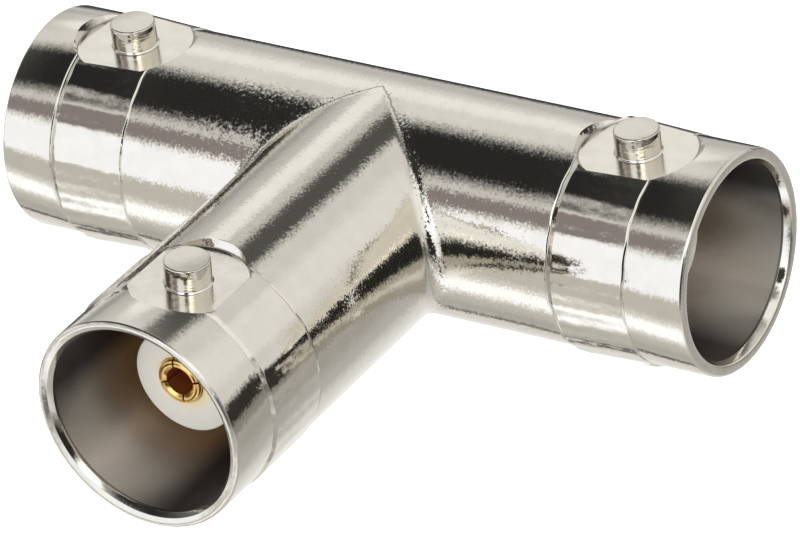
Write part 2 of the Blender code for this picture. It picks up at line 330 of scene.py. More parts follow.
class Tree:
    """A node tree with short calls to add and join its nodes."""

    def __init__(self, tree: bpy.types.NodeTree) -> None:
        """Take over a tree and empty it."""
        self.tree = tree
        tree.nodes.clear()

    def feed(self, node: bpy.types.Node, inputs: dict) -> None:
        """Set a node's inputs or join them.

        Args:
            node: The node.
            inputs: For each input, by name or number, a value or a socket to join it to.
        """
        for key, value in inputs.items():
            socket = node.inputs[key]
            if isinstance(value, Socket):
                self.tree.links.new(value, socket)
            elif socket.type == "RGBA" and len(value) == 3:
                socket.default_value = (*value, 1)
            else:
                socket.default_value = value

    def add(self, kind: str, inputs: dict | None = None, **settings) -> bpy.types.Node:
        """Return a new node.

        Args:
            kind: Its type's name, without ShaderNode.
            inputs: For each input, by name or number, a value or a socket to join it to.
            **settings: Its properties.

        Returns:
            The node.
        """
        node = self.tree.nodes.new(f"ShaderNode{kind}")
        for name, value in settings.items():
            setattr(node, name, value)
        self.feed(node, inputs or {})
        return node

    def maths(self, operation: str, *values: Value, clamp: bool = False) -> Socket:
        """Return the result of a Math node."""
        inputs = dict(enumerate(values))
        return self.add("Math", inputs, operation=operation, use_clamp=clamp).outputs[0]

    def vector(self, operation: str, *values: Socket | Triple) -> Socket:
        """Return the vector that a Vector Math node gives."""
        return self.add("VectorMath", dict(enumerate(values)), operation=operation).outputs[0]

    def measure(self, operation: str, *values: Socket | Triple) -> Socket:
        """Return the number that a Vector Math node gives."""
        return self.add("VectorMath", dict(enumerate(values)), operation=operation).outputs[1]

    def times(self, first: Value, *more: Value) -> Socket:
        """Return a product."""
        return reduce(lambda product, value: self.maths("MULTIPLY", product, value), more, first)

    def plus(self, first: Value, second: Value) -> Socket:
        """Return a sum."""
        return self.maths("ADD", first, second)

    def minus(self, first: Value, second: Value) -> Socket:
        """Return a difference."""
        return self.maths("SUBTRACT", first, second)

    def scaled(self, value: Value, factor: Value, more: Value) -> Socket:
        """Return value * factor + more."""
        return self.maths("MULTIPLY_ADD", value, factor, more)

    def mix(self, share: Value, below: Value, above: Value) -> Socket:
        """Return a mix of two numbers."""
        return self.scaled(self.minus(above, below), share, below)

    def along(self, first: Value, second: Value, direction: Span) -> Socket:
        """Return how far (first, second) lies along a direction: the two products' sum."""
        return self.scaled(first, direction[0], self.times(second, direction[1]))

    def length(self, first: Value, second: Value) -> Socket:
        """Return the length of a vector with two parts."""
        squares = self.plus(self.times(first, first), self.times(second, second))
        return self.maths("SQRT", squares)

    def off(self, value: Value, centre: Value) -> Socket:
        """Return how far a value is from a centre."""
        return self.maths("ABSOLUTE", self.minus(value, centre))

    def ease(self, value: Value, span: tuple[Value, Value], start: float, end: float) -> Socket:
        """Return a value eased from start to end as the given one goes through a span.

        Args:
            value: The given value.
            span: Where it begins and ends to count.
            start: The result below the span.
            end: The result above it.

        Returns:
            The eased value.
        """
        inputs = {"Value": value, "From Min": span[0], "From Max": span[1]}
        inputs |= {"To Min": start, "To Max": end}
        return self.add("MapRange", inputs, interpolation_type="SMOOTHSTEP").outputs["Result"]

    def rise(self, value: Value, span: tuple[Value, Value]) -> Socket:
        """Return 0 below a span and 1 above it, eased."""
        return self.ease(value, span, 0.0, 1.0)

    def fade(self, value: Value, span: tuple[Value, Value]) -> Socket:
        """Return 1 below a span and 0 above it, eased."""
        return self.ease(value, span, 1.0, 0.0)

    def close(self, value: Value, centre: Value, span: Span) -> Socket:
        """Return 1 near a centre and 0 far from it, with a span of distances between them."""
        return self.fade(self.off(value, centre), span)

    def blend(self, share: Value, below: Socket | Colour, above: Socket | Colour) -> Socket:
        """Return a mix of two colours, or of two vectors."""
        return self.add("Mix", {0: share, 6: below, 7: above}, data_type="RGBA").outputs[2]

    def noise(self, place: Socket, scale: float, detail: float, output: str = "Fac") -> Socket:
        """Return a noise over a position, as a number (Fac) or as a vector (Color)."""
        inputs = {"Vector": place, "Scale": scale, "Detail": detail}
        return self.add("TexNoise", inputs).outputs[output]

    def group(self, tree: bpy.types.NodeTree, inputs: dict) -> bpy.types.NodeOutputs:
        """Return the outputs of a node that places a group with its own values."""
        return self.add("Group", inputs, node_tree=tree).outputs


def new_group(
    name: str, inputs: dict[str, str], outputs: dict[str, str]
) -> tuple[Tree, dict[str, Socket], bpy.types.Node]:
    """Return an empty node group.

    Args:
        name: The group's name.
        inputs: Socket types by input name.
        outputs: Socket types by output name.

    Returns:
        Its tree, its input sockets by name, and its output node.
    """
    group = bpy.data.node_groups.new(name, "ShaderNodeTree")
    for in_out, sockets in (("INPUT", inputs), ("OUTPUT", outputs)):
        for label, kind in sockets.items():
            group.interface.new_socket(label, in_out=in_out, socket_type=f"NodeSocket{kind}")
    tree = Tree(group)
    source = group.nodes.new("NodeGroupInput")
    given = {label: source.outputs[label] for label in inputs}
    return tree, given, group.nodes.new("NodeGroupOutput")


def new_material(name: str) -> tuple[bpy.types.Material, Tree, bpy.types.Node, Socket]:
    """Return a new material with a plain shader.

    Args:
        name: The material's name.

    Returns:
        The material, its tree, its shader, and a position in millimetres from the crossing.
    """
    material = bpy.data.materials.new(name)
    material.use_nodes = True
    tree = Tree(material.node_tree)
    shader = tree.add("BsdfPrincipled")
    tree.add("OutputMaterial", {"Surface": shader.outputs[0]})
    where = tree.add("TexCoord").outputs["Object"]
    inputs = {"Vector": where, "Scale": (1 / MM,) * 3, "Location": -CENTRE}
    return material, tree, shader, tree.add("Mapping", inputs).outputs[0]


@dataclass
class SharedEffects:
    """The node groups that the finishes share, and where they begin and end.

    Each pair of lengths is a soft edge, in millimetres. Heights start at the axes, and lengths
    behind the seam start where the two tubes' skins would meet.

    Attributes:
        side_shade: The soft edge of the painted shade on one side of a bore, as a cosine round its
            axis.
        side_shade_run: The direction of that painted shade in the run's bore, in Y and Z.
        side_shade_branch: The direction of that painted shade in the branch's bore, in X and Z.
        crease_waver: How far the crease wanders from the seam, and where it starts.
        pit: The soft edge of a pit, as a share of its cell.
        crease_noise: The scale and detail of the noise along the crease.
        broad: Those of the noise that the marks' stretch draws out.
        fine: Those of the specks' noise.
        speck_growth: How strongly a large speck leans the skin.
    """

    branch_edge: Span = (-0.3, 0.3)
    bore_radius: Span = (4.27, 4.29)
    bore_start: Span = (0.32, 0.40)
    lip_end: Span = (0.05, 0.15)
    seam_middle: float = 0.25
    seam_edge: Span = (0.2, 0.5)
    seam_back: Span = (-0.6, 0.0)
    crease_waver: Span = (0.24, 0.07)
    crease_edge: Span = (0.03, 0.085)
    crease_foot: Span = (3.2, 4.0)
    crease_front: Span = (-3.2, -2.0)
    # Where one side of each bore is painted dark, as painted shade.
    side_shade: Span = (0.55, 0.86)
    side_shade_run: Span = (0.788, -0.616)
    side_shade_branch: Span = (-0.695, -0.719)
    pit: Span = (0.10, 0.34)
    crease_noise: Span = (3.0, 2.0)
    broad: Span = (1.0, 3.0)
    fine: Span = (10.0, 2.5)
    speck_growth: float = 4.0

    def __post_init__(self) -> None:
        """Make the groups."""
        self.zones = self.make_zones()
        self.marks = self.make_marks()
        self.pits = self.make_pits()

    def make_zones(self) -> bpy.types.NodeTree:
        """Return the group that says where on the tee a position is.

        Branch, Bore, Lip, Seam, Crease and Dull are masks from 0 to 1. Dull marks one side of each
        bore, whose colour is painted dark as shade, and Crease a wandering line along the top of
        the seam, which is painted dark as shade. Depth is the distance behind the nearest mouth,
        Radius the distance from the port's axis, Off Lug the distance from the nearest lug's axis
        and Level the height along it.

        Returns:
            The group.
        """
        masks = ("Branch", "Bore", "Lip", "Seam", "Crease", "Side Shade")
        labels = (*masks, "Depth", "Radius", "Off Lug", "Level")
        outputs = dict.fromkeys(labels, "Float")
        tree, given, out = new_group("tee_zones", {"Position": "Vector"}, outputs)
        place = given["Position"]
        x, y, z = tree.add("SeparateXYZ", {0: place}).outputs
        side = tree.maths("ABSOLUTE", x)
        seam = tree.plus(side, y)
        branch = tree.fade(seam, self.branch_edge)
        radius = tree.mix(branch, tree.length(y, z), tree.length(x, z))
        behind_branch = tree.plus(y, LAYOUT.branch_reach)
        depth = tree.mix(branch, tree.minus(LAYOUT.run_half, side), behind_branch)
        sine, cosine = math.sin(LAYOUT.branch_turn), math.cos(LAYOUT.branch_turn)
        across = tree.mix(branch, y, tree.along(x, z, (cosine, -sine)))
        level = tree.mix(branch, z, tree.along(x, z, (sine, cosine)))
        bore = tree.times(tree.fade(radius, self.bore_radius), tree.rise(depth, self.bore_start))
        waver = tree.scaled(tree.noise(place, *self.crease_noise), *self.crease_waver)
        crease = tree.fade(tree.off(seam, waver), self.crease_edge)
        # Painted shade: the side of each bore that faces a fixed direction is painted dark.
        toward_side_shade = tree.mix(branch, tree.along(y, z, self.side_shade_run), tree.along(x, z, self.side_shade_branch))
        side_shade = tree.fade(tree.maths("DIVIDE", toward_side_shade, radius), self.side_shade)
        near_seam = tree.close(seam, self.seam_middle, self.seam_edge)
        over, ahead = tree.rise(z, self.crease_foot), tree.rise(y, self.crease_front)
        tree.feed(out, {
            "Branch": branch,
            "Bore": bore,
            "Lip": tree.times(tree.fade(depth, self.lip_end), tree.minus(1.0, bore)),
            "Seam": tree.times(near_seam, tree.fade(y, self.seam_back)),
            "Crease": tree.times(crease, over, ahead),
            "Side Shade": tree.times(bore, side_shade),
            "Depth": depth,
            "Radius": radius,
            "Off Lug": tree.length(across, tree.minus(depth, LAYOUT.lug_setback)),
            "Level": tree.maths("ABSOLUTE", level),
        })
        return tree.tree

    def make_marks(self) -> bpy.types.NodeTree:
        """Return the group for fine marks, which lean the normal as a drawn-out noise says.

        The normal becomes normalise(normal + reach * (broad - 0.5) + growth * grain * |speck| *
        speck). Broad and fine are noises, and speck is fine - 0.5, so that few specks lean far.

        Returns:
            The group.
        """
        inputs = {"Position": "Vector", "Stretch": "Vector", "Reach": "Vector", "Grain": "Float"}
        tree, given, out = new_group("fine_marks", inputs, {"Normal": "Vector"})
        half = (0.5, 0.5, 0.5)
        drawn = tree.vector("MULTIPLY", given["Position"], given["Stretch"])
        broad = tree.noise(drawn, *self.broad, "Color")
        lean = tree.vector("MULTIPLY", tree.vector("SUBTRACT", broad, half), given["Reach"])
        fine = tree.noise(given["Position"], *self.fine, "Color")
        speck = tree.vector("SUBTRACT", fine, half)
        size = tree.times(tree.measure("LENGTH", speck), given["Grain"], self.speck_growth)
        normal = tree.vector("ADD", tree.add("NewGeometry").outputs["Normal"], lean)
        normal = tree.vector("ADD", normal, tree.vector("MULTIPLY", speck, size))
        tree.feed(out, {"Normal": tree.vector("NORMALIZE", normal)})
        return tree.tree

    def make_pits(self) -> bpy.types.NodeTree:
        """Return the group for scattered pits: the cores of random cells, kept by chance.

        Returns:
            The group.
        """
        inputs = {"Position": "Vector", "Scale": "Float", "Share": "Float"}
        tree, given, out = new_group("scattered_pits", inputs, {"Mask": "Float"})
        cells = tree.add("TexVoronoi", {"Vector": given["Position"], "Scale": given["Scale"]})
        chance = tree.add("SeparateColor", {0: cells.outputs["Color"]}).outputs[0]
        kept = tree.maths("LESS_THAN", chance, given["Share"])
        tree.feed(out, {"Mask": tree.times(tree.fade(cells.outputs["Distance"], self.pit), kept)})
        return tree.tree

    def scatter(self, tree: Tree, place: Socket, scale: float, share: Value) -> Socket:
        """Return the mask of scattered pits: so many to a millimetre, and a share of them kept."""
        return tree.group(self.pits, {"Position": place, "Scale": scale, "Share": share})["Mask"]

    def lean(
        self,
        tree: Tree,
        place: Socket,
        stretch: Socket | Triple,
        reach: Socket | Triple,
        grain: Value,
    ) -> Socket:
        """Return the normal that fine marks lean.

        Args:
            tree: The material's tree.
            place: The position.
            stretch: How closely the marks lie along X, Y and Z.
            reach: How far they lean the skin along X, Y and Z.
            grain: How far fine specks lean it.

        Returns:
            The normal.
        """
        inputs = {"Position": place, "Stretch": stretch, "Reach": reach, "Grain": grain}
        return tree.group(self.marks, inputs)["Normal"]


@dataclass(frozen=True)
class Marks:
    """Fine marks in one zone of the plate, given along the port's axis, across it and up.

    Attributes:
        reach: How far they lean the skin.
        stretch: How closely they lie, or None where that stays as it is.
    """

    reach: Triple
    stretch: Triple | None = None


@dataclass(frozen=True)
class NickelPlate:
    """Bright nickel plate over a casting, with satin bores and pits along the seam.

    Each pair is a soft edge in millimetres, unless the list says otherwise. The flat's rim, the
    lug's skirt and the foot count from the lug's axis, levels from the port's axis, and lengths
    along the tube and bore from the mouth.

    Attributes:
        name: The material's name.
        grooves: The axis of a bore whose turning marks spread its light along it, or None.
        tube: The fine marks of the plain tubes.
        marks: The fine marks of the zones on them, each over those before it.
        rougher: How much roughness each zone adds.
        rough_spot: The centre and the half sizes of the casting's rough spot.
        rough_edge: Where that spot fades, as a share of its half sizes.
        flat_polish: How much plainer the flats are than the tubes.
        cloud: The scale and detail of the noise that clouds the plate.
        cloud_edge: The noise at which clouds begin and are full.
        side_shade_share: How strongly the colour of the painted shade on one side of a bore covers
            the
        plate's, as lug_top_shade_share and the crease, foot and edge shares say for the other
        painted shades.
        pit_depth: How deep a pit is, in millimetres.
        pit_scale: Pits to a millimetre along the seam, of which pit_share are kept.
        speck_scale: Specks to a millimetre, of which speck_share are kept.
        warm_run: How strong the painted warm shade deep in the run's bore is, as a share of the
            branch's.
        foot_radius: Where painted shade lies round the flat, at the lug's foot, in a line as soft
            as foot_line.
        edge_depth: Where painted shade lies in the bore, in a line as soft as edge_line.
    """

    name: str
    grooves: Triple | None = None
    groove_spread: float = 0.9
    tube: Marks = Marks((0.04, 0.07, 0.07), (6.5, 4.2, 4.2))
    marks: tuple[tuple[str, Marks], ...] = (
        ("Band", Marks((0.12, 0.12, 0.12), (2.0, 4.5, 4.5))),
        ("Rough", Marks((0.42, 0.42, 0.42), (6.5, 6.5, 6.5))),
        ("Flat", Marks((0.05, 0.05, 0.05))),
        ("Lug", Marks((0.05, 0.05, 0.28), (1.5, 1.5, 13.0))),
        ("Lip", Marks((0.20, 0.20, 0.20), (3.0, 3.0, 3.0))),
    )
    rougher: tuple[tuple[str, float], ...] = (
        ("Bore", 0.33), ("Lip", 0.14), ("Flat", 0.10), ("Specks", 0.11)
    )
    smoothest: float = 0.055
    clouded: float = 0.035
    bright_plate: Colour = (0.740, 0.708, 0.632)
    cloudy_plate: Colour = (0.712, 0.676, 0.598)
    # Bore colours: towards the depths the colour is painted darker and warmer, as painted shade.
    bore_mouth: Colour = (0.70, 0.66, 0.60)
    painted_bore_depth_shade: Colour = (0.61, 0.41, 0.23)
    # Painted shade on one side of each bore.
    painted_side_shade: Colour = (0.10, 0.09, 0.085)
    pitted: Colour = (0.20, 0.18, 0.16)
    # Painted shade in the creases, at the lugs' feet and at the bores' inner edges.
    painted_crease_shade: Colour = (0.10, 0.09, 0.08)
    # Painted shade that darkens the lugs' tops.
    lug_top: Colour = (0.45, 0.42, 0.37)
    rough_spot: tuple[Triple, Triple] = ((-4.6, -2.7, 3.9), (3.8, 2.8, 2.8))
    rough_edge: Span = (0.2, 1.0)
    flat_level: Span = (0.01, 0.03)
    flat_rim: Span = (2.52, 2.56)
    flat_polish: float = 0.6
    lug_skirt: Span = (1.02, 1.06)
    lug_level: Span = (4.4, 4.44)
    top_level: Span = (5.44, 5.48)
    lug_top_shade_share: float = 0.35
    barrel_from: Span = (5.5, 7.5)
    band_from: Span = (2.85, 2.95)
    band_to: Span = (6.0, 6.1)
    cloud: Span = (1.3, 5.0)
    cloud_edge: Span = (0.3, 0.7)
    warm_from: Span = (2.0, 5.8)
    warm_run: float = 0.4
    side_shade_share: float = 0.91
    pit_scale: float = 6.5
    pit_share: float = 0.42
    pit_soil: float = 0.5
    pit_depth: float = 0.012
    speck_scale: float = 14.0
    speck_share: float = 0.45
    # Shares of the painted shade along the crease, at the lugs' feet and at the bores' edges.
    crease_shade_share: float = 0.62
    foot_radius: float = 2.52
    foot_level: float = 4.46
    foot_line: Span = (0.03, 0.06)
    foot_shade_share: float = 0.4
    edge_depth: float = 0.42
    edge_line: Span = (0.02, 0.06)
    edge_shade_share: float = 0.7
    tube_grain: float = 0.10
    barrel_grain: float = 0.12
    seam_grain: float = 0.5

    def masks(self, tree: Tree, effects: SharedEffects, place: Socket) -> dict[str, Socket]:
        """Return the zones' masks and measures by name, with those of the plate's own zones.

        Rough is the casting's rough spot beside the branch: 1 at its centre and 0 on its skin.

        Args:
            tree: The material's tree.
            effects: The shared groups.
            place: The position.

        Returns:
            The masks and measures.
        """
        on = dict(tree.group(effects.zones, {"Position": place}).items())
        depth, off_lug, level = on["Depth"], on["Off Lug"], on["Level"]
        at_flat = tree.close(level, LAYOUT.flat_height, self.flat_level)
        on["Flat"] = tree.times(at_flat, tree.fade(off_lug, self.flat_rim))
        on["Lug"] = tree.times(tree.fade(off_lug, self.lug_skirt), tree.rise(level, self.lug_level))
        centre, size = self.rough_spot
        away = tree.vector("DIVIDE", tree.vector("SUBTRACT", place, centre), size)
        spot = tree.fade(tree.measure("LENGTH", away), self.rough_edge)
        on["Rough"] = tree.times(spot, tree.minus(1.0, on["Branch"]))
        on["Barrel"] = tree.rise(depth, self.barrel_from)
        on["Band"] = tree.times(tree.rise(depth, self.band_from), tree.fade(depth, self.band_to))
        on["Plain"] = tree.minus(1.0, tree.times(on["Flat"], self.flat_polish))
        pitted = tree.times(on["Seam"], self.pit_share)
        on["Pits"] = effects.scatter(tree, place, self.pit_scale, pitted)
        specks = effects.scatter(tree, place, self.speck_scale, self.speck_share)
        bare = tree.minus(on["Plain"], tree.maths("MAXIMUM", on["Bore"], on["Lip"]))
        on["Specks"] = tree.maths("MULTIPLY", specks, bare, clamp=True)
        on["Cloud"] = tree.rise(tree.noise(place, *self.cloud), self.cloud_edge)
        return on

    def tint(self, tree: Tree, on: dict[str, Socket]) -> Socket:
        """Return the colour: cloudy plate, with painted shade that is warmer deep in the bores,
        dark painted shade on one side of each bore, in the creases, at the lugs' feet and the
        bores' edges, and painted shade on the lugs' tops.

        Args:
            tree: The material's tree.
            on: The masks.

        Returns:
            The colour.
        """
        # Painted shade: the bores grow darker and warmer with depth behind the mouth.
        warmth = tree.scaled(on["Branch"], 1 - self.warm_run, self.warm_run)
        warm = tree.times(tree.rise(on["Depth"], self.warm_from), warmth)
        # Painted shade: dark lines at the lugs' feet, at the bores' inner edges and along the
        # crease by the seam.
        foot = tree.times(
            tree.close(on["Off Lug"], self.foot_radius, self.foot_line),
            tree.close(on["Level"], self.foot_level, self.foot_line),
        )
        edge = tree.close(on["Depth"], self.edge_depth, self.edge_line)
        edge_shade_share = tree.times(edge, on["Bore"], self.edge_shade_share)
        painted_shade = tree.times(on["Crease"], self.crease_shade_share)
        for crevice in (tree.times(foot, self.foot_shade_share), edge_shade_share):
            painted_shade = tree.maths("MAXIMUM", painted_shade, crevice)
        tint = tree.blend(on["Cloud"], self.bright_plate, self.cloudy_plate)
        for share, colour in (
            # Painted shade, darker and warmer deep in the bores.
            (on["Bore"], tree.blend(warm, self.bore_mouth, self.painted_bore_depth_shade)),
            # Painted shade on one side of each bore.
            (tree.times(on["Side Shade"], self.side_shade_share), self.painted_side_shade),
            (tree.times(on["Pits"], self.pit_soil), self.pitted),
            # Painted shade in the creases, at the lugs' feet and at the bores' edges.
            (painted_shade, self.painted_crease_shade),
            # Painted shade on the lugs' tops.
            (tree.ease(on["Level"], self.top_level, 0.0, self.lug_top_shade_share), self.lug_top),
        ):
            tint = tree.blend(share, tint, colour)
        return tint

    def gloss(self, tree: Tree, on: dict[str, Socket]) -> Socket:
        """Return the roughness: that of cloudy plate, plus what each zone adds.

        Args:
            tree: The material's tree.
            on: The masks.

        Returns:
            The roughness.
        """
        gloss = tree.scaled(on["Cloud"], self.clouded, self.smoothest)
        for zone, more in self.rougher:
            gloss = tree.scaled(on[zone], more, gloss)
        return gloss

    def axial(self, tree: Tree, on: dict[str, Socket], values: Triple) -> Socket | Triple:
        """Return values along X, Y and Z that are given along a port's axis, across it and up."""
        along, across, up = values
        return values if along == across else tree.blend(on["Branch"], values, (across, along, up))

    def normal(
        self, tree: Tree, effects: SharedEffects, place: Socket, on: dict[str, Socket]
    ) -> Socket:
        """Return the normal, leaned by each zone's fine marks and sunk in the pits.

        Args:
            tree: The material's tree.
            effects: The shared groups.
            place: The position.
            on: The masks.

        Returns:
            The normal.
        """
        reach = self.axial(tree, on, self.tube.reach)
        stretch = self.axial(tree, on, self.tube.stretch)
        for zone, marks in self.marks:
            reach = tree.blend(on[zone], reach, self.axial(tree, on, marks.reach))
            if marks.stretch:
                stretch = tree.blend(on[zone], stretch, self.axial(tree, on, marks.stretch))
        grain = tree.scaled(on["Barrel"], self.barrel_grain, self.tube_grain)
        grain = tree.times(tree.scaled(on["Seam"], self.seam_grain, grain), on["Plain"])
        leaned = effects.lean(tree, place, stretch, reach, grain)
        height = tree.times(on["Pits"], -self.pit_depth)
        inputs = {"Height": height, "Distance": MM, "Normal": leaned}
        return tree.add("Bump", inputs).outputs[0]

    def make(self, effects: SharedEffects) -> bpy.types.Material:
        """Return the material, with its grooves as anisotropy along their axis.

        Args:
            effects: The shared groups.

        Returns:
            The material.
        """
        material, tree, shader, place = new_material(self.name)
        on = self.masks(tree, effects, place)
        tree.feed(shader, {
            "Metallic": 1.0,
            "Base Color": self.tint(tree, on),
            "Roughness": self.gloss(tree, on),
            "Normal": self.normal(tree, effects, place, on),
        })
        if self.grooves:
            axis = tree.add("CombineXYZ", dict(enumerate(self.grooves))).outputs[0]
            tree.feed(shader, {"Anisotropic": self.groove_spread, "Tangent": axis})
        return material


@dataclass(frozen=True)
class SatinWhite:
    """The insulators' satin white plastic, faintly mottled, with painted gold light round the
    contact.

    Attributes:
        gold_glow_ring: The radii between which the painted gold glow fades, in millimetres.
        clouded: How much roughness the mottling adds to the smoothest.
        cloud: The scale and detail of the mottling.
        glow: How much of the light goes under the skin, to the depths that glow_depth gives.
    """

    name: str = "satin_white_insulator"
    shaded: Colour = (0.68, 0.645, 0.56)
    lit: Colour = (0.75, 0.715, 0.635)
    # The colour of the painted gold glow round the contact.
    warm: Colour = (0.80, 0.60, 0.20)
    gold_glow_ring: Span = (1.05, 1.5)
    gold_glow_share: float = 0.55
    smoothest: float = 0.36
    clouded: float = 0.12
    cloud: Span = (0.8, 4.0)
    marks: Marks = Marks((0.06, 0.06, 0.06), (3.0, 3.0, 3.0))
    grain: float = 0.05
    glow: float = 0.15
    glow_depth: Triple = (0.0006, 0.0005, 0.0004)

    def make(self, effects: SharedEffects) -> bpy.types.Material:
        """Return the material: the painted glow's share falls from the contact's radius outwards.

        Args:
            effects: The shared groups.

        Returns:
            The material.
        """
        material, tree, shader, place = new_material(self.name)
        cloud = tree.noise(place, *self.cloud)
        radius = tree.group(effects.zones, {"Position": place})["Radius"]
        # Painted light: a warm glow round the contact, standing for the gold's light on the white.
        near = tree.ease(radius, self.gold_glow_ring, self.gold_glow_share, 0.0)
        tree.feed(shader, {
            "Base Color": tree.blend(near, tree.blend(cloud, self.shaded, self.lit), self.warm),
            "Roughness": tree.scaled(cloud, self.clouded, self.smoothest),
            "Normal": effects.lean(tree, place, self.marks.stretch, self.marks.reach, self.grain),
            "Subsurface Weight": self.glow,
            "Subsurface Radius": self.glow_depth,
            "Subsurface Scale": 1.0,
        })
        return material


@dataclass(frozen=True)
class YellowMetal:
    """A turned yellow metal, rougher down inside a contact, where its colour is painted darker and
    redder as shade.

    Attributes:
        name: The material's name.
        light: Its lighter colour.
        dark: Its darker colour.
        smoothest: Its roughness where it is smoothest.
        clouded: How much roughness its clouds add.
        inside_depth: Where the rougher inside, with its painted darker and redder shade, begins, in
            millimetres behind the mouth.
        cloud: The scale and detail of its clouds.
    """

    name: str
    light: Colour
    dark: Colour
    smoothest: float
    clouded: float = 0.16
    # Painted shade inside the contact's hole.
    inside: Colour = (0.80, 0.38, 0.16)
    inside_depth: Span = (3.42, 3.55)
    inside_rough: float = 0.35
    cloud: Span = (4.0, 4.0)
    marks: Marks = Marks((0.12, 0.12, 0.12), (5.0, 9.0, 5.0))
    grain: float = 0.08

    def make(self, effects: SharedEffects) -> bpy.types.Material:
        """Return the material: inside starts at a depth behind the mouth.

        Args:
            effects: The shared groups.

        Returns:
            The material.
        """
        material, tree, shader, place = new_material(self.name)
        cloud = tree.noise(place, *self.cloud)
        depth = tree.group(effects.zones, {"Position": place})["Depth"]
        inside = tree.rise(depth, self.inside_depth)
        rough = tree.scaled(cloud, self.clouded, self.smoothest)
        tint = tree.blend(cloud, self.light, self.dark)
        tree.feed(shader, {
            "Metallic": 1.0,
            # Painted shade: darker, redder colour down inside the hole.
            "Base Color": tree.blend(inside, tint, self.inside),
            "Roughness": tree.scaled(inside, self.inside_rough, rough),
            "Normal": effects.lean(tree, place, self.marks.stretch, self.marks.reach, self.grain),
        })
        return material


GOLD = YellowMetal("bright_gold_plate", (1.00, 0.71, 0.29), (0.93, 0.57, 0.17), 0.12)
BRASS = YellowMetal("turned_brass", (0.80, 0.62, 0.33), (0.66, 0.47, 0.22), 0.25)


@dataclass(frozen=True)
class Jack:
    """What differs from jack to jack.

    Attributes:
        front: How far the raised band's front end rises above the shell.
        rear: How far its rear end rises.
        wall: How far the wall of the jack's flat leans back, for its height.
        lip: Points down the mouth's inner edge, as (radius, depth, rounding).
        nose: How far the insulator's nose sits behind the mouth.
        off: How far the contact sits off the axis, across and up.
        tail: How far the contact's tail ends from the crossing of the axes.
    """

    front: float
    rear: float
    wall: float
    lip: Profile
    nose: float = 3.55
    off: Span = (0.0, 0.0)
    tail: float = 1.5


RUN_LIP = [(4.34, 0.02, 0.12), (4.20, 0.36, 0.05)]
BRANCH_LIP = [(4.60, 0.01, 0.05), (4.41, 0.10, 0.05), (4.25, 0.31, 0.05)]
JACKS = {
    Port.RIGHT: Jack(0.04, 0.19, 0.40, RUN_LIP, nose=3.36),
    Port.LEFT: Jack(0.19, 0.04, 0.40, RUN_LIP),
    Port.BRANCH: Jack(0.10, 0.08, 0.16, BRANCH_LIP, off=(-0.15, 0.04), tail=0.4),
}


